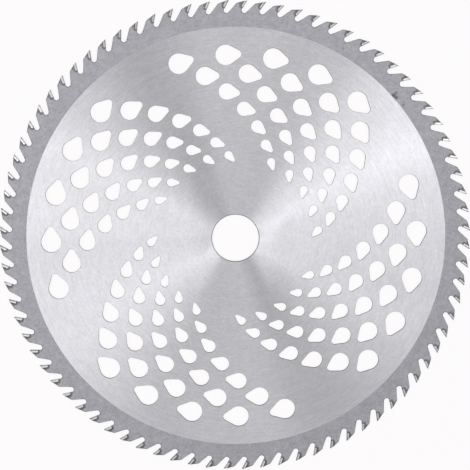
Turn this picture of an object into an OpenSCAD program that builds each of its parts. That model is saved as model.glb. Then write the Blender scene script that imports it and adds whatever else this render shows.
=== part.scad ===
// Circular brush cutter blade: a thin steel plate with a central bore, four swept arms of
// teardrop holes, and carbide tips brazed into seats round its rim.
// The plate lies in XY with its middle at z = 0 and the bore along Z. Seen from +Z the teeth
// point clockwise. Sizes are in mm and angles in degrees.

/* [Plate] */
// Diameter over the cutting edges
blade_d = 255; // [225:1:305]
// Thickness of the steel plate
plate_t = 1.4; // [1:0.1:1.8]
// Diameter of the bore
bore_d = 25.4; // [16:0.1:32]
// Width of the chamfer at both ends of the bore
bore_chamfer = 0.2; // [0.05:0.05:0.4]

/* [Teeth] */
// Number of teeth, always even because the top bevel alternates
tooth_count = 80; // [40:2:84]
// Angle of the first cutting edge from +X
first_tooth = 1.68; // [0:0.01:4.5]
// How far the face of a tooth leans forward from the radius
rake = 29; // [15:1:32]
// How steeply the steel behind a tip falls away from the rim circle
land_slope = 17.4; // [14:0.1:24]
// Length of that steel land, from the seat to the shoulder
land_l = 4.2; // [3:0.05:4.9]
// Length of the curve that rounds the shoulder, on each side of its corner
shoulder_round = 0.6; // [0.2:0.1:1.2]
// Length of the steel face between the seat and the gullet
heel_l = 0.35; // [0.25:0.05:0.8]
// How far that steel face is cut back behind the line of the tip's face
undercut = 10; // [4:1:16]
// Radius of the round bottom of a gullet
gullet_r = 1.5; // [1:0.05:1.8]

/* [Carbide tips] */
// Length of a tip along its face
tip_l = 4.6; // [3.6:0.1:5.3]
// Thickness of a tip, square to its face
tip_t = 1.2; // [1:0.1:1.8]
// Width of the cut, which is a tip's width at its cutting edge
kerf = 2.2; // [2:0.1:3]
// Fall of a tip's top from its cutting edge
clearance = 13; // [8:1:17]
// Sideways slope of a tip's top, to the left and to the right in turn
top_bevel = 10; // [2:1:15]
// Narrowing of a tip from its cutting edge down, on each side
side_relief = 1; // [0.5:0.25:2]
// Narrowing of a tip from its face back, on each side
back_relief = 2.5; // [1:0.25:4]
// Radius of a tip's lower rear corner
tip_corner_r = 0.6; // [0.2:0.1:0.9]

/* [Braze] */
// Thickness of the braze between a tip and its seat
braze_t = 0.15; // [0.08:0.01:0.2]
// Width of the braze bead on the sides of the plate
bead_w = 1.1; // [0.6:0.05:1.3]
// Height of the bead over the plate where it meets the tip
bead_h = 0.25; // [0.1:0.01:0.28]
// Height of the bead over the plate at its outer edge
bead_edge = 0.05; // [0.02:0.01:0.08]
// How far the steel land lies below the line of a tip's top
land_step = 0.1; // [0.02:0.02:0.3]

/* [Holes] */
// Arms of holes round the plate
arm_count = 4; // [3:1:4]
// Holes side by side in one ring of an arm
hole_columns = 5; // [2:1:5]
// Rings of holes from the hub to the rim
ring_count = 7; // [3:1:7]
// Angle between neighbouring holes of a ring
hole_pitch = 15; // [14.5:0.1:15.2]
// Radius of the innermost ring
ring_r = 43.95; // [42:0.05:48]
// Distance from the innermost ring to the next one, without its growth
ring_step = 7.71; // [7.5:0.01:8]
// Growth of that distance, times the square of the ring's number
ring_growth = 0.22; // [0.2:0.01:0.24]
// Angle from +X to the middle hole of the innermost ring, on an even first arm
arm_start = 32.8; // [0:0.1:90]
// Sweep of an arm from its innermost ring to the next one, without its growth
arm_sweep = 7.06; // [6.5:0.01:7.5]
// Growth of that sweep, times the square of the ring's number
sweep_growth = 0.033; // [0:0.001:0.08]
// How far each arm is turned from an even spacing
arm_turn = [1, -0.85, -0.55, 0.45]; // [-2:0.05:2]
// How far each arm is moved along X from an even spacing
arm_shift_x = [0.1, -1.5, -0.95, 0.15]; // [-2:0.05:2]
// How far each arm is moved along Y from an even spacing
arm_shift_y = [0.45, 0, 0.15, -0.65]; // [-2:0.05:2]
// Length of a hole in the innermost ring
hole_l = 6.95; // [6.5:0.05:7.5]
// Growth of that length from ring to ring
hole_l_growth = 1.18; // [1:0.01:1.3]
// Radius of the round end of a hole in the innermost ring
hole_r = 2.3; // [2:0.05:2.6]
// Growth of that radius from ring to ring
hole_r_growth = 0.54; // [0.4:0.01:0.58]
// Radius of the pointed end of a hole in the innermost ring
point_r = 1; // [0.6:0.05:1.2]
// Growth of that radius from ring to ring
point_r_growth = 0.2; // [0.1:0.01:0.24]
// Lean of a hole's point toward the hub, ring by ring from the innermost one
hole_lean = [48, 28, 29, 12, 11, 8, -2]; // [-10:1:50]

/* [Hidden] */
$fn = 96;
CORNER_STEPS = 4;
NIP = 0.004;
tip_r = blade_d / 2;
tooth_pitch = 360 / tooth_count;
pair_count = tooth_count / 2;
land_angle = rake + clearance;
seat_angle = rake + land_slope;
seat_t = tip_t + braze_t;
seat_l = tip_l + braze_t;
bead_t = tip_t + bead_w;
bead_l = tip_l + bead_w;
reach = 2 * bead_l;
arm_pitch = 360 / arm_count;

function pair_name(i) = str("tip_pair_", i < 10 ? "0" : "", i);

// A point turned about the origin
function turned(p, a) = [p.x * cos(a) - p.y * sin(a), p.x * sin(a) + p.y * cos(a)];

// A step of a given length in a given direction
function step(length, a) = [length * cos(a), length * sin(a)];

// A point of a tooth in the plate's frame. In the tooth's own frame the cutting edge is the
// origin, +X runs back from the face into the tooth, and +Y runs down the face.
function on_plate(p, i) =
    turned([tip_r, 0] + turned(p, 90 - rake), first_tooth + i * tooth_pitch);

// A quarter circle that turns from +Y to -X at the outer corner of a box [x, y]
function corner(x, y, r) =
    [for (k = [0:CORNER_STEPS]) [x - r, y - r] + step(r, 90 * k / CORNER_STEPS)];

// A curve of three points, which rounds the corner at its middle one
function rounded(a, b, c) =
    [for (k = [0:CORNER_STEPS]) let (t = k / CORNER_STEPS)
        (1 - t) * (1 - t) * a + 2 * t * (1 - t) * b + t * t * c];

// The end of a line from p that runs along the rim side of a gullet. Where a straight line
// meets a round end, it stops NIP inside the circle, so that the two cross in one clean point.
function along_gullet(p, centre) =
    let (d = p - centre, r = gullet_r - NIP)
    centre + step(r, atan2(d.y, d.x) - acos(r / norm(d)));

// Marks of a tooth in its own frame, from the gullet up to the shoulder
seat_foot = [0, seat_l];
heel_end = seat_foot + [heel_l * sin(undercut), heel_l * cos(undercut)];
gullet_at = heel_end + step(gullet_r - NIP, 180 - undercut);
seat_top = [seat_t, seat_t * tan(land_angle) + land_step];
shoulder = seat_top + step(land_l, seat_angle);

// Steel outline of one tooth, counterclockwise from the floor of its gullet
function tooth_outline(i) =
    let (
        gullet = on_plate(gullet_at, i),
        next_gullet = on_plate(gullet_at, i + 1),
        before = along_gullet(on_plate(shoulder, i - 1), gullet),
        after = along_gullet(on_plate(shoulder, i), next_gullet),
        peak = on_plate(shoulder, i),
        back = after - peak
    )
    concat(
        [before, gullet, on_plate(heel_end, i), on_plate(seat_foot, i)],
        [for (p = seat_corner) on_plate(p, i)],
        [on_plate(seat_top, i)],
        rounded(
            on_plate(shoulder - step(shoulder_round, seat_angle), i),
            peak,
            peak + back * shoulder_round / norm(back)
        )
    );

// The seat's inner corner, from its floor up to its rear wall
seat_corner = let (c = corner(seat_t, seat_l, tip_corner_r + braze_t))
    [for (k = [CORNER_STEPS:-1:0]) c[k]];

// Side view of a tip, from its cutting edge down the rear and back up the face
tip_outline = concat(
    [[0, 0], [tip_t, tip_t * tan(land_angle)]],
    corner(tip_t, tip_l, tip_corner_r),
    [[0, tip_l]]
);

// Side view of the seat that a tip and its braze fill
seat_outline = concat(
    [[-reach, -reach], [seat_t, -reach]],
    corner(seat_t, seat_l, tip_corner_r + braze_t),
    [[-reach, seat_l]]
);

// Side view of all that the braze covers, before the tip and the steel are cut from it
bead_outline = concat(
    [[0, 0], [tip_t, tip_t * tan(land_angle)], seat_top,
        seat_top + step((bead_t - seat_t) / cos(seat_angle), seat_angle)],
    corner(bead_t, bead_l, tip_corner_r + bead_w),
    [[(bead_l - seat_l) * tan(undercut), bead_l], seat_foot]
);

// A point inside a ring of holes: its distance and its angle from +X
function hole_radius(ring) = ring_r + ring_step * ring + ring_growth * ring * ring;
function hole_angle(arm, column, ring) =
    arm_start + arm_pitch * arm + arm_turn[arm] + hole_pitch * (column - (hole_columns - 1) / 2)
    + arm_sweep * ring + sweep_growth * ring * ring;

// Puts a piece at the cutting edge of tooth i, in the tooth's own frame
module at_tooth(i) {
    rotate(first_tooth + i * tooth_pitch) translate([tip_r, 0, 0]) rotate(90 - rake) children();
}

// A section in X and Z, drawn out along +Y from y = -reach to reach
module along_y() {
    translate([0, reach, 0]) rotate([90, 0, 0]) linear_extrude(height = 2 * reach) children();
}

// A section in Y and Z, drawn out along +X from x = -reach to reach
module along_x() {
    translate([-reach, 0, 0]) rotate([90, 0, 90]) linear_extrude(height = 2 * reach) children();
}

// A hole with a big and a small round end, joined by the lines that touch both.
// It lies along X with its middle at the origin and its point toward +X.
module teardrop(length, big_r, small_r) {
    span = length - big_r - small_r;
    touch_a = acos((big_r - small_r) / span);
    translate([big_r - length / 2, 0]) {
        circle(r = big_r);
        translate([span, 0]) circle(r = small_r);
        polygon([
            step(big_r - NIP, touch_a), [span, 0] + step(small_r - NIP, touch_a),
            [span, 0] + step(small_r - NIP, -touch_a), step(big_r - NIP, -touch_a)
        ]);
    }
}

module hole(ring) {
    teardrop(
        hole_l + hole_l_growth * ring,
        hole_r + hole_r_growth * ring,
        point_r + point_r_growth * ring
    );
}

// All holes, each with its point clockwise and leaning toward the hub
module hole_pattern() {
    for (arm = [0:arm_count - 1]) translate([arm_shift_x[arm], arm_shift_y[arm]])
        for (column = [0:hole_columns - 1], ring = [0:ring_count - 1])
            rotate(hole_angle(arm, column, ring)) translate([hole_radius(ring), 0])
                rotate(-90 - hole_lean[ring]) hole(ring);
}

module bore() {
    translate([0, 0, -plate_t]) cylinder(h = 2 * plate_t, d = bore_d);
    for (side = [0, 1]) mirror([0, 0, side])
        translate([0, 0, plate_t / 2 - bore_chamfer])
            cylinder(h = 2 * bore_chamfer, d1 = bore_d, d2 = bore_d + 4 * bore_chamfer);
}

module blade_plate() {
    color("lightgray") difference() {
        linear_extrude(height = plate_t, center = true) difference() {
            polygon([for (i = [0:tooth_count - 1]) each tooth_outline(i)]);
            for (i = [0:tooth_count - 1]) translate(on_plate(gullet_at, i)) circle(r = gullet_r);
            hole_pattern();
        }
        bore();
    }
}

// One tip in the tooth's own frame. Its top slopes down toward -Z, or toward +Z if hand is -1.
module carbide_tip(hand) {
    edge = kerf / 2;
    foot = edge - tip_l * tan(side_relief);
    rear = edge - tip_t * tan(back_relief);
    bevel_a = atan(tan(top_bevel) * cos(land_angle));
    mirror([0, 0, hand < 0 ? 1 : 0]) difference() {
        intersection() {
            linear_extrude(height = kerf, center = true) polygon(tip_outline);
            along_x() polygon([[0, -edge], [0, edge], [tip_l, foot], [tip_l, -foot]]);
            along_y() polygon([[0, -edge], [0, edge], [tip_t, rear], [tip_t, -rear]]);
        }
        translate([0, 0, edge]) rotate(land_angle) rotate([bevel_a, 0, 0])
            translate([-reach, -reach, -reach]) cube([2 * reach, reach, 2 * reach]);
    }
}

// Two neighbouring tips, the left and the right bevel that repeat round the rim
module tip_pair(number) {
    color("gainsboro") {
        at_tooth(2 * number - 2) carbide_tip(1);
        at_tooth(2 * number - 1) carbide_tip(-1);
    }
}

// Braze of one tooth: the layer in the seat and a sloping bead on both sides of the plate
module braze_joint() {
    high = plate_t / 2 + bead_h;
    low = plate_t / 2 + bead_edge;
    difference() {
        intersection() {
            linear_extrude(height = 2 * high, center = true) polygon(bead_outline);
            along_y() polygon([
                [0, -high], [tip_t, -high], [bead_t, -low], [bead_t, low], [tip_t, high], [0, high]
            ]);
            along_x() polygon([
                [0, -high], [tip_l, -high], [bead_l, -low], [bead_l, low], [tip_l, high], [0, high]
            ]);
        }
        linear_extrude(height = 2 * kerf, center = true) polygon(tip_outline);
        linear_extrude(height = plate_t, center = true) difference() {
            polygon([[0, 0], [reach, 0], [reach, reach], [0, reach]]);
            polygon(seat_outline);
        }
        translate([gullet_at.x, gullet_at.y, -kerf]) cylinder(h = 2 * kerf, r = gullet_r);
    }
}

module braze_joints() {
    color("dimgray") for (i = [0:tooth_count - 1]) at_tooth(i) braze_joint();
}

blade_plate();
braze_joints();
for (i = [1:pair_count]) tip_pair(i);
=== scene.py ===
# %% [markdown]
# # A circular brush cutter blade with brazed teeth
# The real part is one stamped steel disc, 255 mm across and 1.4 mm thick, with a 25.4 mm
# bore, four swirls of teardrop holes and eighty teeth, each with a carbide tip brazed into
# a seat. It has no moving parts. Here the disc, the tips and the braze come from the CAD
# model, and Blender gives them rounded edges, their steel finishes and the studio.

# %% Load the CAD model
import math

import bpy
from mathutils import Matrix, Vector


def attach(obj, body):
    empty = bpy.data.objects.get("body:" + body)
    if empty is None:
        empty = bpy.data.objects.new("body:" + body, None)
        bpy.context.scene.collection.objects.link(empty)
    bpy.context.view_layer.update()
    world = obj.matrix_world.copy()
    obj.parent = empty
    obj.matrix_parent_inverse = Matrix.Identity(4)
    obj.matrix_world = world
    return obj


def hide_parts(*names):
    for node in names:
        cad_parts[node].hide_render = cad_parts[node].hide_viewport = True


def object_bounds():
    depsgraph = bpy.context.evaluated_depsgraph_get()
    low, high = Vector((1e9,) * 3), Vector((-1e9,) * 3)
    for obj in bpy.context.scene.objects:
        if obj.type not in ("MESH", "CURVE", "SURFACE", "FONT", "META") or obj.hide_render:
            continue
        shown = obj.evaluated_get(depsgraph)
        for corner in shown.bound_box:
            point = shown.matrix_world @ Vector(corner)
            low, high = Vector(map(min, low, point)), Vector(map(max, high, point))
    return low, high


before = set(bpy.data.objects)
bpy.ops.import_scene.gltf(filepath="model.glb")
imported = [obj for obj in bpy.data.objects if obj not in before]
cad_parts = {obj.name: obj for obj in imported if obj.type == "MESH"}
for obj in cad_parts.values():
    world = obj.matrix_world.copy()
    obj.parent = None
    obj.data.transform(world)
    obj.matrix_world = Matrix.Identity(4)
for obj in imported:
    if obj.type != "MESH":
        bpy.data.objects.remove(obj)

MM = 0.001
cad_low, cad_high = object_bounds()
print("CAD box in mm:", [round((high - low) / MM, 3) for low, high in zip(cad_low, cad_high)])

# %% [markdown]
# ## The camera
# The photograph looks almost straight down on the blade, from about 0.73 m above it and
# a little towards the top of the picture. Its place and turn were fitted to the middles of
# the holes and the points of the teeth, so the same long lens gives the same picture.

# %% Camera
CAMERA_PLACE = (-11.98 * MM, 63.48 * MM, 728.69 * MM)
CAMERA_PITCH = math.radians(-4.856)
CAMERA_ROLL = math.radians(-0.919)
LENS_MM = 103.44
SENSOR_MM = 36.0

bpy.ops.object.select_all(action="DESELECT")
camera_data = bpy.data.cameras.new("photo_camera")
camera_data.lens = LENS_MM
camera_data.sensor_width = SENSOR_MM
camera = bpy.data.objects.new("photo_camera", camera_data)
camera.matrix_world = (
    Matrix.Translation(CAMERA_PLACE)
    @ Matrix.Rotation(CAMERA_PITCH, 4, "X")
    @ Matrix.Rotation(CAMERA_ROLL, 4, "Y")
)
bpy.context.scene.collection.objects.link(camera)
bpy.context.scene.camera = camera
print("camera at", [round(side / MM, 2) for side in CAMERA_PLACE], "mm, lens", LENS_MM, "mm")

# %% [markdown]
# ## Working copies
# A CAD node is never changed, so each finished piece starts as a copy of one. The packed
# mesh is loose triangles. Merging its doubles joins them into a closed mesh, which a
# boolean can cut. Dissolving the edges inside flat faces then makes whole faces again,
# which a bevel needs.


# %% Helpers for the meshes
WELD = 0.001 * MM
FLAT_ANGLE = math.radians(0.5)


def pick(piece):
    """Deselects everything, then makes piece the selected and active object."""
    bpy.ops.object.select_all(action="DESELECT")
    piece.select_set(True)
    bpy.context.view_layer.objects.active = piece


def working_copy(node, name):
    """A welded copy of a CAD node."""
    piece = bpy.data.objects.new(name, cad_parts[node].data.copy())
    piece.data.name = name
    piece.data.materials.clear()
    bpy.context.scene.collection.objects.link(piece)
    pick(piece)
    bpy.ops.mesh.customdata_custom_splitnormals_clear()
    bpy.ops.object.mode_set(mode="EDIT")
    bpy.ops.mesh.select_all(action="SELECT")
    bpy.ops.mesh.remove_doubles(threshold=WELD)
    bpy.ops.object.mode_set(mode="OBJECT")
    return piece


def whole_faces(piece):
    """Welds piece and joins the triangles of each flat face, but not across two finishes."""
    pick(piece)
    bpy.ops.object.mode_set(mode="EDIT")
    bpy.ops.mesh.select_all(action="SELECT")
    bpy.ops.mesh.remove_doubles(threshold=WELD)
    bpy.ops.mesh.dissolve_limited(angle_limit=FLAT_ANGLE, delimit={"MATERIAL"})
    bpy.ops.object.mode_set(mode="OBJECT")


def choose_faces(piece, wanted):
    """Leaves piece in edit mode with only the faces that wanted() picks selected."""
    pick(piece)
    bpy.ops.object.mode_set(mode="EDIT")
    bpy.ops.mesh.select_mode(type="FACE")
    bpy.ops.mesh.select_all(action="DESELECT")
    bpy.ops.object.mode_set(mode="OBJECT")
    for face in piece.data.polygons:
        face.select = wanted(face)
    bpy.ops.object.mode_set(mode="EDIT")


def apply_modifier(piece, kind, **settings):
    """Adds one modifier with these settings to piece and applies it."""
    pick(piece)
    modifier = piece.modifiers.new(kind.lower(), kind)
    for setting, value in settings.items():
        setattr(modifier, setting, value)
    bpy.ops.object.modifier_apply(modifier=modifier.name)


EDGE_ANGLE = math.radians(35)
SMOOTH_ANGLE = math.radians(20)


def round_edges(piece, width, finish=-1):
    """Rounds the sharp edges of piece in this finish, and shades its curved walls smooth."""
    apply_modifier(
        piece, "BEVEL", width=width, segments=2, limit_method="ANGLE", material=finish,
        angle_limit=EDGE_ANGLE, use_clamp_overlap=False, miter_outer="MITER_SHARP",
    )
    pick(piece)
    bpy.ops.object.shade_smooth_by_angle(angle=SMOOTH_ANGLE)


def size_of(piece):
    """The piece's size and face count, as text."""
    x, y, z = (round(side / MM, 3) for side in piece.dimensions)
    return f"{piece.name}: {x} x {y} x {z} mm, {len(piece.data.polygons)} faces"


# %% [markdown]
# ## The plate
# The rim of the real plate is blasted matt to the roots of the teeth, and the disc inside
# it is then ground with circular strokes, which leaves a sharp round border between them.
# A boolean with a cylinder cuts the plate along that border, the two walls of the cut are
# deleted, and the halves are welded again. So the border is a true circle of edges, and
# each face can take its own finish. The real disc sat a little off centre on its grinder, so
# the circle does too.

# %% Cut the plate along the border of the two finishes
BORDER_R = 113.35 * MM
BORDER_MIDDLE = Vector((0.43 * MM, -0.02 * MM, 0))
BORDER_STEPS = 720
CUT_DEPTH = 10 * MM
SAME_PLACE = 0.01 * MM
STEEP = 0.5

disc = working_copy("blade_plate", "plate")
rim = working_copy("blade_plate", "rim")
bpy.ops.object.select_all(action="DESELECT")
bpy.ops.mesh.primitive_cylinder_add(
    vertices=BORDER_STEPS, radius=BORDER_R, depth=CUT_DEPTH, location=BORDER_MIDDLE
)
cutter = bpy.context.object
for half, operation in ((disc, "INTERSECT"), (rim, "DIFFERENCE")):
    apply_modifier(half, "BOOLEAN", operation=operation, object=cutter, solver="EXACT")
pick(cutter)
bpy.ops.object.delete()


def on_cut_wall(face):
    """True for a face that the cylinder left."""
    out = (face.center - BORDER_MIDDLE).to_2d().length
    return abs(face.normal.z) < STEEP and abs(out - BORDER_R) < SAME_PLACE


FINISHES = ("ground_disc", "blasted_rim", "cut_wall", "bore_wall")
materials = {name: bpy.data.materials.new(name) for name in FINISHES}
for half, finish in ((disc, 0), (rim, 1)):
    for name in FINISHES:
        half.data.materials.append(materials[name])
    half.data.polygons.foreach_set("material_index", [finish] * len(half.data.polygons))
    choose_faces(half, on_cut_wall)
    bpy.ops.mesh.delete(type="FACE")
    bpy.ops.object.mode_set(mode="OBJECT")

bpy.ops.object.select_all(action="DESELECT")
rim.select_set(True)
disc.select_set(True)
bpy.context.view_layer.objects.active = disc
bpy.ops.object.join()
plate = disc
print(size_of(plate))

# %% [markdown]
# The teeth and holes are cut by laser, and the bore is turned. Both are picked by the
# direction of the faces and their distance from the middle. The small round of each edge
# takes the wall's finish. The walls are dull and dark, partly the steel's own colour and
# partly painted shade, so the rounds draw a painted line of shade round every hole and tooth.

# %% Give the walls their finish, then round the edges
BORE_R = 12.7 * MM
BORE_CHAMFER = 0.2 * MM
PLATE_EDGE = 0.12 * MM
LEVEL = 0.9
CUT_WALL, BORE_WALL = FINISHES.index("cut_wall"), FINISHES.index("bore_wall")

for face in plate.data.polygons:
    out = math.hypot(face.center.x, face.center.y)
    if abs(face.normal.z) < LEVEL:
        face.material_index = BORE_WALL if out < BORE_R + BORE_CHAMFER else CUT_WALL
whole_faces(plate)
# the rounds take the dark wall finish, which paints a thin line of shade round every hole and
# tooth
round_edges(plate, PLATE_EDGE, CUT_WALL)
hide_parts("blade_plate")
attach(plate, "root")
print(size_of(plate))

# %% [markdown]
# ## The carbide tips
# Each tip is a small ground block that stands a little proud of the plate on both sides.
# Its edges are honed, never knife sharp on the back, so a very small bevel is enough.
# The CAD model holds them in pairs, and each pair becomes one piece.

# %% Tips
TIP_EDGE = 0.04 * MM
materials["carbide"] = bpy.data.materials.new("carbide")
tips = []
for node in sorted(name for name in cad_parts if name.startswith("tip_pair_")):
    pair = working_copy(node, node.replace("tip_pair", "carbide_tips"))
    pair.data.materials.append(materials["carbide"])
    whole_faces(pair)
    round_edges(pair, TIP_EDGE)
    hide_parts(node)
    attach(pair, "root")
    tips.append(pair)
print(len(tips), "pairs of tips, the first", size_of(tips[0]))

# %% [markdown]
# ## The braze
# The braze is the dull dark seam between a tip and its seat, with a bead on each side.

# %% Braze
materials["braze"] = bpy.data.materials.new("braze")
braze = working_copy("braze_joints", "braze")
braze.data.materials.append(materials["braze"])
whole_faces(braze)
bpy.ops.object.shade_smooth_by_angle(angle=SMOOTH_ANGLE)
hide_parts("braze_joints")
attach(braze, "root")
print(size_of(braze))

# %% [markdown]
# ## The finishes
# All the materials work in millimetres on the blade itself, from Object coordinates, so a
# small helper makes nodes and another makes a group with named sockets.


# %% Helpers for the nodes
def feed(tree, value, socket):
    """Links value to socket where it is another node's output, and otherwise sets it."""
    if isinstance(value, bpy.types.NodeSocket):
        tree.links.new(value, socket)
    else:
        socket.default_value = value


def node(tree, kind, settings=None, **inputs):
    """A new node of this kind. An input is given by its name, or as _0, _1 by its place."""
    made = tree.nodes.new("ShaderNode" + kind)
    for setting, value in (settings or {}).items():
        setattr(made, setting, value)
    for name, value in inputs.items():
        key = int(name[1:]) if name[1:].isdigit() else name.replace("_", " ")
        feed(tree, value, made.inputs[key])
    return made


def group(name, inputs, outputs):
    """A new shader node group, with the nodes that hold its inputs and its outputs."""
    tree = bpy.data.node_groups.new(name, "ShaderNodeTree")
    for socket, kind, value in inputs:
        made = tree.interface.new_socket(socket, in_out="INPUT", socket_type="NodeSocket" + kind)
        if value is not None:
            made.default_value = value
    for socket, kind in outputs:
        tree.interface.new_socket(socket, in_out="OUTPUT", socket_type="NodeSocket" + kind)
    return tree, tree.nodes.new("NodeGroupInput"), tree.nodes.new("NodeGroupOutput")


def placed(tree, name, **inputs):
    """The node group called name, placed in tree with these values."""
    made = node(tree, "Group")
    made.node_tree = bpy.data.node_groups[name]
    for name, value in inputs.items():
        feed(tree, value, made.inputs[name.replace("_", " ")])
    return made


def math_node(tree, operation, first, second=0.0):
    """The output of a Math node."""
    return node(tree, "Math", {"operation": operation}, _0=first, _1=second).outputs[0]


def count_nodes(tree, name):
    """Prints how many nodes a group or material has."""
    print(f"{name}: {len(tree.nodes)} nodes")


# %% [markdown]
# ### Circular grinding marks
# A turning disc under an abrasive leaves strokes that run round the middle. Noise that is
# read with the radius in fine steps and the direction in coarse ones stretches into such
# arcs, and has no seam, because the direction comes from the point itself.

# %% Group: grinding arcs
tree, given, result = group(
    "grinding_arcs",
    [("Vector", "Vector", None), ("Strokes per mm", "Float", 4.0), ("Arc", "Float", 6.0),
     ("Detail", "Float", 2.0)],
    [("Strokes", "Float")],
)
flat = node(tree, "VectorMath", {"operation": "MULTIPLY"}, _0=given.outputs["Vector"],
            _1=(1, 1, 0))
out = node(tree, "VectorMath", {"operation": "LENGTH"}, _0=flat.outputs[0]).outputs["Value"]
heading = node(tree, "VectorMath", {"operation": "NORMALIZE"}, _0=flat.outputs[0])
turned = node(tree, "VectorMath", {"operation": "SCALE"}, _0=heading.outputs[0],
              Scale=given.outputs["Arc"])
apart = node(tree, "SeparateXYZ", _0=turned.outputs[0])
steps = math_node(tree, "MULTIPLY", math_node(tree, "MULTIPLY", out, 1 / MM),
                  given.outputs["Strokes per mm"])
place = node(tree, "CombineXYZ", X=apart.outputs["X"], Y=apart.outputs["Y"], Z=steps)
noise = node(tree, "TexNoise", Vector=place.outputs[0], Scale=1.0, Detail=given.outputs["Detail"],
             Roughness=0.6)
tree.links.new(noise.outputs["Fac"], result.inputs["Strokes"])
count_nodes(tree, tree.name)

# %% [markdown]
# ### Cloudy tone
# Rolled and ground steel is never one flat grey. A soft noise shades it by a few levels.
# Some centimetres wide it makes clouds, and about a millimetre wide it makes grain.

# %% Group: cloudy tone
tree, given, result = group(
    "cloudy_tone",
    [("Vector", "Vector", None), ("Size in mm", "Float", 20.0), ("Amount", "Float", 0.05)],
    [("Tone", "Float")],
)
per_metre = math_node(tree, "DIVIDE", 1 / MM, given.outputs["Size in mm"])
noise = node(tree, "TexNoise", Vector=given.outputs["Vector"], Scale=per_metre, Detail=3.0,
             Roughness=0.5)
centred = math_node(tree, "SUBTRACT", noise.outputs["Fac"], 0.5)
scaled = math_node(tree, "MULTIPLY", centred, given.outputs["Amount"])
tree.links.new(math_node(tree, "ADD", scaled, 1.0), result.inputs["Tone"])
count_nodes(tree, tree.name)

# %% [markdown]
# ### Where a point lies on its tooth
# Much of the look of the rim repeats with the teeth: a band of painted shade along the face
# edge of each tip, a wedge of dark flux behind it, a line of painted shade along each gullet.
# One group finds, for any point of the rim, how far it lies behind the face of its own tooth,
# how far down that face, and how far from the edge of the steel. It also gives each tooth a
# chance value of its own, because no two were brazed alike. The sizes are those of the CAD
# model, in mm, from the cutting edge of a tooth, with x back from its face and y down along it.

# %% Sizes of a tooth
TIP_R, TOOTH_PITCH, FIRST_TOOTH = 127.5, math.radians(4.5), math.radians(1.68)
TIP_L, TIP_T = 4.6, 1.2
DOWN_FACE = math.radians(61)
LAND = ((1.35, 1.316), (4.25, 4.355))
GULLET, GULLET_R = (-1.412, 5.355), 1.5
AHEAD = 0.05


def on_tooth(point, tooth):
    """A point of another tooth's frame, in the frame of the first one."""
    flat = Vector(point)
    flat.rotate(Matrix.Rotation(DOWN_FACE, 2))
    flat += Vector((TIP_R, 0))
    flat.rotate(Matrix.Rotation(tooth * TOOTH_PITCH, 2))
    flat -= Vector((TIP_R, 0))
    flat.rotate(Matrix.Rotation(-DOWN_FACE, 2))
    return flat


next_gullet = on_tooth(GULLET, 1)
shoulder = Vector(LAND[1])
away = shoulder - next_gullet
leave_angle = math.atan2(away.y, away.x) + math.acos(GULLET_R / away.length)
leave_gullet = next_gullet + GULLET_R * Vector((math.cos(leave_angle), math.sin(leave_angle)))
tooth_back = (shoulder, leave_gullet)
print("next gullet", next_gullet, "tooth back", tooth_back)


# %% Group: place on the tooth
def flat_point(tree, x, y):
    """A point in the plane of the plate."""
    return node(tree, "CombineXYZ", X=x, Y=y, Z=0.0).outputs[0]


def from_segment(tree, point, start, end):
    """The distance of point from a straight edge."""
    start, along = Vector(start).to_3d(), (Vector(end) - Vector(start)).to_3d()
    off = node(tree, "VectorMath", {"operation": "SUBTRACT"}, _0=point, _1=start).outputs[0]
    share = node(tree, "VectorMath", {"operation": "DOT_PRODUCT"}, _0=off,
                 _1=along / along.length_squared)
    share = node(tree, "Clamp", Value=share.outputs["Value"]).outputs[0]
    foot = node(tree, "VectorMath", {"operation": "SCALE"}, _0=along, Scale=share).outputs[0]
    gap = node(tree, "VectorMath", {"operation": "DISTANCE"}, _0=off, _1=foot)
    return gap.outputs["Value"]


def from_circle(tree, point, middle, radius):
    """The distance of point from a round edge."""
    off = node(tree, "VectorMath", {"operation": "DISTANCE"}, _0=point, _1=Vector(middle).to_3d())
    return math_node(tree, "ABSOLUTE", math_node(tree, "SUBTRACT", off.outputs["Value"], radius))


tree, given, result = group(
    "tooth_place", [("Vector", "Vector", None)],
    [("Back", "Float"), ("Down", "Float"), ("Edge", "Float"), ("From Tip", "Float"),
     ("Chance", "Float")],
)
in_mm = node(tree, "VectorMath", {"operation": "MULTIPLY"}, _0=given.outputs[0],
             _1=(1 / MM, 1 / MM, 0))
apart = node(tree, "SeparateXYZ", _0=in_mm.outputs[0])
heading = math_node(tree, "ARCTAN2", apart.outputs["Y"], apart.outputs["X"])
turns = math_node(tree, "DIVIDE", math_node(tree, "SUBTRACT", heading, FIRST_TOOTH), TOOTH_PITCH)
turns = math_node(tree, "ADD", turns, AHEAD)
own_turn = math_node(tree, "FRACT", turns)
chance = node(tree, "TexWhiteNoise", {"noise_dimensions": "1D"}, W=math_node(tree, "FLOOR", turns))
swing = math_node(tree, "MULTIPLY", math_node(tree, "SUBTRACT", own_turn, AHEAD), TOOTH_PITCH)
out = node(tree, "VectorMath", {"operation": "LENGTH"}, _0=in_mm.outputs[0]).outputs["Value"]
outward = math_node(tree, "MULTIPLY", out, math_node(tree, "COSINE", swing))
x = math_node(tree, "SUBTRACT", outward, TIP_R)
y = math_node(tree, "MULTIPLY", out, math_node(tree, "SINE", swing))
turned = node(tree, "VectorRotate", {"rotation_type": "Z_AXIS"}, Vector=flat_point(tree, x, y),
              Angle=-DOWN_FACE).outputs[0]
own = node(tree, "SeparateXYZ", _0=turned)
edge = from_circle(tree, turned, GULLET, GULLET_R)
for other in (
    from_circle(tree, turned, next_gullet, GULLET_R),
    from_segment(tree, turned, *LAND),
    from_segment(tree, turned, *tooth_back),
):
    edge = math_node(tree, "MINIMUM", edge, other)
past = flat_point(
    tree,
    math_node(tree, "MAXIMUM", math_node(tree, "SUBTRACT", own.outputs["X"], TIP_T), 0.0),
    math_node(tree, "MAXIMUM", math_node(tree, "SUBTRACT", own.outputs["Y"], TIP_L), 0.0),
)
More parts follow.
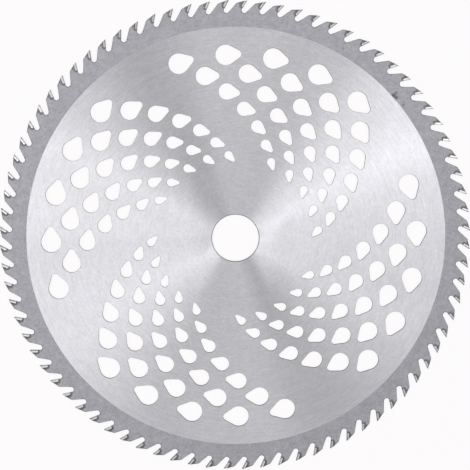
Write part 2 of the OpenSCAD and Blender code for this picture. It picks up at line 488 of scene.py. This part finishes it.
from_tip = node(tree, "VectorMath", {"operation": "LENGTH"}, _0=past).outputs["Value"]
for name, value in (
    ("Back", own.outputs["X"]), ("Down", own.outputs["Y"]), ("Edge", edge),
    ("From Tip", from_tip), ("Chance", chance.outputs["Value"]),
):
    tree.links.new(value, result.inputs[name])
count_nodes(tree, tree.name)


# %% [markdown]
# ### Tones and directions
# Each finish is one colour times some tones that change over the surface, so the helpers
# below make a tone from a distance and multiply tones. Another gives the direction of the
# grinding, which the shader turns its stretched reflections by.


# %% Helpers for tones and directions
def toned(tree, colour, tone):
    """The colour times a tone that changes over the surface."""
    made = node(tree, "VectorMath", {"operation": "SCALE"}, _0=colour, Scale=tone)
    return made.outputs[0]


def fade(tree, value, near, far, at_near, at_far):
    """A value that goes smoothly from at_near to at_far while value goes from near to far."""
    return node(tree, "MapRange", {"interpolation_type": "SMOOTHSTEP"}, Value=value, From_Min=near,
                From_Max=far, To_Min=at_near, To_Max=at_far).outputs[0]


def times(tree, *values):
    """The product of the values."""
    product = values[0]
    for value in values[1:]:
        product = math_node(tree, "MULTIPLY", product, value)
    return product


def round_middle(tree, place):
    """The direction that runs round the middle of the blade."""
    apart = node(tree, "SeparateXYZ", _0=place)
    across = node(tree, "CombineXYZ", X=math_node(tree, "MULTIPLY", apart.outputs["Y"], -1.0),
                  Y=apart.outputs["X"], Z=0.0)
    along = node(tree, "VectorMath", {"operation": "NORMALIZE"}, _0=across.outputs[0])
    spaces = {"vector_type": "VECTOR", "convert_from": "OBJECT", "convert_to": "WORLD"}
    return node(tree, "VectorTransform", spaces, Vector=along.outputs[0]).outputs[0]


def start(name):
    """The material's tree, its shader, and the place on the blade."""
    material = materials[name]
    material.use_nodes = True
    tree = material.node_tree
    shader = tree.nodes["Principled BSDF"]
    return tree, shader, node(tree, "TexCoord").outputs["Object"]


# %% [markdown]
# ### The ground disc
# Fine circular strokes spread a reflection outwards and hold it narrow along the stroke,
# and that makes the bright fans on the disc. A strong constant anisotropy with a tangent
# that runs round the Z axis does the same. The strokes themselves are a faint bump, and
# wider and narrower arcs of tone, a mottle and a fine grain keep the grey from being even.

# %% Ground disc
DISC_GREY = (0.80, 0.795, 0.835)
QUARTER_TURN = 0.25
tree, shader, place = start("ground_disc")
fine = placed(tree, "grinding_arcs", Vector=place, Strokes_per_mm=5.0, Arc=7.0, Detail=2.0)
broad = placed(tree, "grinding_arcs", Vector=place, Strokes_per_mm=0.9, Arc=5.0, Detail=3.0)
clouds = placed(tree, "cloudy_tone", Vector=place, Size_in_mm=25.0, Amount=0.10).outputs[0]
mottle = placed(tree, "cloudy_tone", Vector=place, Size_in_mm=4.0, Amount=0.11).outputs[0]
grain = placed(tree, "cloudy_tone", Vector=place, Size_in_mm=1.1, Amount=0.26).outputs[0]
narrow = placed(tree, "grinding_arcs", Vector=place, Strokes_per_mm=1.7, Arc=18.0, Detail=2.0)
strokes = node(tree, "MapRange", Value=broad.outputs[0], To_Min=0.90, To_Max=1.10).outputs[0]
scratches = node(tree, "MapRange", Value=narrow.outputs[0], To_Min=0.87, To_Max=1.13).outputs[0]
tree.links.new(toned(tree, DISC_GREY, times(tree, clouds, mottle, grain, strokes, scratches)),
               shader.inputs["Base Color"])
rough = node(tree, "MapRange", Value=fine.outputs[0], To_Min=0.41, To_Max=0.49)
tree.links.new(rough.outputs[0], shader.inputs["Roughness"])
bump = node(tree, "Bump", Strength=0.10, Distance=0.02 * MM, Height=fine.outputs[0])
tree.links.new(bump.outputs[0], shader.inputs["Normal"])
tree.links.new(round_middle(tree, place), shader.inputs["Tangent"])
shader.inputs["Metallic"].default_value = 1.0
shader.inputs["Anisotropic"].default_value = 0.95
shader.inputs["Anisotropic Rotation"].default_value = QUARTER_TURN
count_nodes(tree, "ground_disc")

# %% [markdown]
# ### The blasted rim
# Blasting leaves fine pits that scatter light evenly, so the rim is the same dull grey from
# every side. Brazing then leaves dark flux round each tip, which thins out faster below the
# foot of the tip than beside it, a faint paler ring where the steel was heated, and a few
# burnt specks. All of it is tone on the steel, because none of it has a thickness to model.

# %% Blasted rim
RIM_GREY = (0.422, 0.420, 0.450)
FLUX_TONE = 0.55
FLUX_EDGE = (1.0, 2.4)
FOOT = (3.0, 5.2)
THINNING = (0.88, 1.9)
HEATED_AT, HEATED_WIDE, HEATED_TONE = 2.9, 0.8, 1.07
RAGGED = 1.2
# place in mm, radius in mm and tone of each speck of burnt flux in the photograph
SPECKS = (
    (84.8, 76.9, 1.7, 0.38), (86.3, 75.8, 1.5, 0.46), (86.3, 78.3, 1.2, 0.52),
    (90.2, 71.9, 1.0, 0.60), (90.0, 73.6, 0.9, 0.80), (57.7, 101.9, 0.9, 0.75),
    (115.3, 20.9, 0.6, 0.68),
)


def thins_out(tree, tooth):
    """How fast the flux thins out, which grows from beside a tip to below its foot."""
    return fade(tree, tooth.outputs["Down"], *FOOT, *THINNING)


tree, shader, place = start("blasted_rim")
tooth = placed(tree, "tooth_place", Vector=place)
tone = placed(tree, "cloudy_tone", Vector=place, Size_in_mm=9.0, Amount=0.15).outputs[0]
mottle = placed(tree, "cloudy_tone", Vector=place, Size_in_mm=3.2, Amount=0.32).outputs[0]
grain = placed(tree, "cloudy_tone", Vector=place, Size_in_mm=1.0, Amount=0.60).outputs[0]
blotch = placed(tree, "cloudy_tone", Vector=place, Size_in_mm=1.6, Amount=0.9).outputs[0]
size = node(tree, "MapRange", Value=tooth.outputs["Chance"], To_Min=1.25, To_Max=0.85).outputs[0]
uneven = times(tree, tooth.outputs["From Tip"], blotch, thins_out(tree, tooth), size)
flux = fade(tree, uneven, *FLUX_EDGE, FLUX_TONE, 1.0)
off_ring = math_node(tree, "ABSOLUTE", math_node(tree, "SUBTRACT", uneven, HEATED_AT))
heated = fade(tree, off_ring, 0.0, HEATED_WIDE, HEATED_TONE, 1.0)
# painted shade: the rim darkens within about a millimetre of the edge of the steel, along each
# gullet and tooth
edge_shade = fade(tree, tooth.outputs["Edge"], 0.05, 0.85, 0.70, 1.0)
spots = times(tree, tone, mottle, grain)
ragged = node(tree, "TexNoise", Vector=place, Scale=0.9 / MM, Detail=2.0)
shifted = node(tree, "VectorMath", {"operation": "MULTIPLY_ADD"}, _0=ragged.outputs["Color"],
               _1=(RAGGED * MM, RAGGED * MM, 0), _2=place).outputs[0]
flat = node(tree, "VectorMath", {"operation": "MULTIPLY"}, _0=shifted, _1=(1, 1, 0)).outputs[0]
for speck_x, speck_y, speck_r, speck_tone in SPECKS:
    middle = Vector((speck_x + RAGGED / 2, speck_y + RAGGED / 2, 0)) * MM
    off = node(tree, "VectorMath", {"operation": "DISTANCE"}, _0=flat, _1=middle).outputs["Value"]
    spots = times(tree, spots, fade(tree, off, 0.2 * speck_r * MM, speck_r * MM, speck_tone, 1.0))
pits = node(tree, "TexNoise", Vector=place, Scale=4 / MM, Detail=3.0, Roughness=0.7)
tree.links.new(toned(tree, RIM_GREY, times(tree, spots, flux, heated, edge_shade)),
               shader.inputs["Base Color"])
rough = node(tree, "MapRange", Value=pits.outputs["Fac"], To_Min=0.60, To_Max=0.74)
tree.links.new(rough.outputs[0], shader.inputs["Roughness"])
bump = node(tree, "Bump", Strength=0.25, Distance=0.03 * MM, Height=pits.outputs["Fac"])
tree.links.new(bump.outputs[0], shader.inputs["Normal"])
shader.inputs["Metallic"].default_value = 1.0
count_nodes(tree, "blasted_rim")

# %% [markdown]
# ### The cut walls and the bore
# A laser leaves a fine ribbed, slightly scorched wall, and a turned bore is a little
# smoother. Both are dark grey, partly the steel's own colour and partly painted shade, so
# one loop makes them, with a roughness for each. Ribs could be modelled, but at this size a
# bump and an uneven tone show them well enough.

# %% Walls
# the dark wall colours are partly the steel's own and partly painted shade, the dark line round
# every hole, tooth and the bore
WALLS = {
    "cut_wall": ((0.10, 0.10, 0.105), 0.55),
    "bore_wall": ((0.13, 0.13, 0.135), 0.40),
}
ROUGH_SPREAD = 0.05
for name, (colour, roughness) in WALLS.items():
    tree, shader, place = start(name)
    tone = placed(tree, "cloudy_tone", Vector=place, Size_in_mm=3.0, Amount=0.5).outputs[0]
    tree.links.new(toned(tree, colour, tone), shader.inputs["Base Color"])
    grain = node(tree, "TexNoise", Vector=place, Scale=6 / MM, Detail=2.0)
    rough = node(tree, "MapRange", Value=grain.outputs["Fac"],
                 To_Min=roughness - ROUGH_SPREAD, To_Max=roughness + ROUGH_SPREAD)
    tree.links.new(rough.outputs[0], shader.inputs["Roughness"])
    bump = node(tree, "Bump", Strength=0.1, Distance=0.02 * MM, Height=grain.outputs["Fac"])
    tree.links.new(bump.outputs[0], shader.inputs["Normal"])
    shader.inputs["Metallic"].default_value = 1.0
    count_nodes(tree, name)

# %% [markdown]
# ### The carbide tips
# The sides of the tips are ground while the blade turns, so their fine strokes run round
# the middle, and they flash white at the left and the right of the blade and stay grey at
# the top and the bottom. Along the face each tip has a band of painted shade, where the
# edge reflects darker, deeper on one tooth than on the next, and all are a little darker
# towards the point.

# %% Carbide
CARBIDE_GREY = (0.84, 0.832, 0.862)
tree, shader, place = start("carbide")
tooth = placed(tree, "tooth_place", Vector=place)
tone = placed(tree, "cloudy_tone", Vector=place, Size_in_mm=1.5, Amount=0.3).outputs[0]
dark = node(tree, "MapRange", Value=tooth.outputs["Chance"], To_Min=0.28, To_Max=0.70).outputs[0]
# painted shade: each tip darkens towards its face edge, by a depth that differs from tooth to
# tooth
face_edge_shade = fade(tree, tooth.outputs["Back"], 0.15, 0.62, dark, 1.0)
point = fade(tree, tooth.outputs["Down"], 0.4, 2.2, 0.62, 1.0)
tree.links.new(toned(tree, CARBIDE_GREY, times(tree, tone, face_edge_shade, point)),
               shader.inputs["Base Color"])
strokes = placed(tree, "grinding_arcs", Vector=place, Strokes_per_mm=8.0, Arc=40.0, Detail=2.0)
rough = node(tree, "MapRange", Value=strokes.outputs[0], To_Min=0.30, To_Max=0.38)
tree.links.new(rough.outputs[0], shader.inputs["Roughness"])
bump = node(tree, "Bump", Strength=0.08, Distance=0.02 * MM, Height=strokes.outputs[0])
tree.links.new(bump.outputs[0], shader.inputs["Normal"])
tree.links.new(round_middle(tree, place), shader.inputs["Tangent"])
shader.inputs["Metallic"].default_value = 1.0
shader.inputs["Anisotropic"].default_value = 0.9
shader.inputs["Anisotropic Rotation"].default_value = QUARTER_TURN
count_nodes(tree, "carbide")

# %% [markdown]
# ### The braze
# Brass-like braze is covered by a glassy skin of burnt flux, greyer and thinner where the
# bead runs out on the steel. Towards the tip it darkens to near black, partly the flux and
# partly painted shade in the corner where the bead meets the tip.

# %% Braze
BRAZE_GREY = (0.40, 0.394, 0.412)
tree, shader, place = start("braze")
tooth = placed(tree, "tooth_place", Vector=place)
lumps = node(tree, "TexNoise", Vector=place, Scale=1.4 / MM, Detail=3.0)
tone = placed(tree, "cloudy_tone", Vector=place, Size_in_mm=0.8, Amount=0.6).outputs[0]
out_from_tip = times(tree, tooth.outputs["From Tip"], thins_out(tree, tooth))
# darker towards the tip: dark flux, and painted shade in the corner where the bead meets the tip
flux_skin_and_shade = fade(tree, out_from_tip, 0.2, 1.2, 0.30, FLUX_TONE)
bare = fade(tree, out_from_tip, *FLUX_EDGE, 1.0, 1 / FLUX_TONE)
tree.links.new(toned(tree, BRAZE_GREY, times(tree, tone, flux_skin_and_shade, bare)), shader.inputs["Base Color"])
rough = node(tree, "MapRange", Value=lumps.outputs["Fac"], To_Min=0.40, To_Max=0.60)
tree.links.new(rough.outputs[0], shader.inputs["Roughness"])
bump = node(tree, "Bump", Strength=0.5, Distance=0.15 * MM, Height=lumps.outputs["Fac"])
tree.links.new(bump.outputs[0], shader.inputs["Normal"])
shader.inputs["Metallic"].default_value = 1.0
count_nodes(tree, "braze")

# %% [markdown]
# ## The studio
# The blade lies on a white floor. The photograph's background is a clean white, so the
# floor shows as white to the camera and to reflections, and keeps only a faint shadow.

# %% Floor
FLOOR_SIZE = 60.0
FLOOR_GAP = 0.02 * MM
WHITE = (0.991, 0.974, 0.982, 1)
FLOOR_GLOW = 0.92
FLOOR_PAINT = (0.9, 0.9, 0.9, 1)

bpy.ops.object.select_all(action="DESELECT")
bpy.ops.mesh.primitive_plane_add(size=FLOOR_SIZE, location=(0, 0, cad_low.z - FLOOR_GAP))
floor = bpy.context.object
floor.name = "floor"
floor_paint = bpy.data.materials.new("floor_white")
floor_paint.use_nodes = True
tree = floor_paint.node_tree
tree.nodes.remove(tree.nodes["Principled BSDF"])
path = node(tree, "LightPath")
seen = math_node(tree, "MAXIMUM", path.outputs["Is Camera Ray"], path.outputs["Is Glossy Ray"])
seen = math_node(tree, "MAXIMUM", seen, path.outputs["Is Transmission Ray"])
share = math_node(tree, "MULTIPLY", seen, FLOOR_GLOW)
matt = node(tree, "BsdfDiffuse", Color=FLOOR_PAINT)
glow = node(tree, "Emission", Color=WHITE, Strength=1.0)
mixed = node(tree, "MixShader", _0=share, _1=matt.outputs[0], _2=glow.outputs[0])
tree.links.new(mixed.outputs[0], tree.nodes["Material Output"].inputs["Surface"])
floor.data.materials.append(floor_paint)
print("floor", FLOOR_SIZE, "m wide,", FLOOR_GAP / MM, "mm below the tips")

# %% [markdown]
# A ring of soft boxes stands round the blade, one for every 20 degrees, and the ceiling
# between them is a plain grey. The ground disc shows each box as a bright fan, towards the
# box and away from it. So the strength of each was worked out from the brightness of the
# real disc all the way round: strong at the right and the upper left, weak at the bottom.
# Past the far edge of the floor, a low view would show the ceiling, so that is white to it.

# %% World and soft boxes
CEILING = 0.44
world = bpy.data.worlds.new("studio")
world.use_nodes = True
tree = world.node_tree
tree.nodes["Background"].inputs["Color"].default_value = (1, 1, 1, 1)
path = node(tree, "LightPath")
strength = node(tree, "MapRange", Value=path.outputs["Is Camera Ray"], To_Min=CEILING, To_Max=1.0)
tree.links.new(strength.outputs[0], tree.nodes["Background"].inputs["Strength"])
bpy.context.scene.world = world

BOX_STEP = 20
BOX_HIGH = math.radians(52)
BOX_AWAY = 1.4
BOX_SIZE = (0.22, 0.6)
# radiance of each box, counterclockwise from +X
BOX_RADIANCE = (
    2.10, 5.50, 3.50, 1.02, 1.69, 1.69, 0, 2.50, 5.60,
    4.90, 2.40, 1.60, 0.77, 0.75, 1.15, 0.30, 0, 0,
)
for number, radiance in enumerate(BOX_RADIANCE):
    if not radiance:
        continue
    azimuth = math.radians(BOX_STEP * number)
    name = f"box_{BOX_STEP * number:03d}"
    light = bpy.data.lights.new(name, "AREA")
    light.shape = "RECTANGLE"
    light.size, light.size_y = BOX_SIZE
    light.energy = radiance * math.pi * BOX_SIZE[0] * BOX_SIZE[1]
    lamp = bpy.data.objects.new(name, light)
    towards = Vector((math.cos(BOX_HIGH), 0, math.sin(BOX_HIGH)))
    towards.rotate(Matrix.Rotation(azimuth, 3, "Z"))
    lamp.location = towards * BOX_AWAY
    lamp.rotation_euler = towards.to_track_quat("Z", "Y").to_euler()
    bpy.context.scene.collection.objects.link(lamp)

bpy.context.scene.view_settings.view_transform = "Standard"
print(sum(radiance > 0 for radiance in BOX_RADIANCE), "soft boxes")
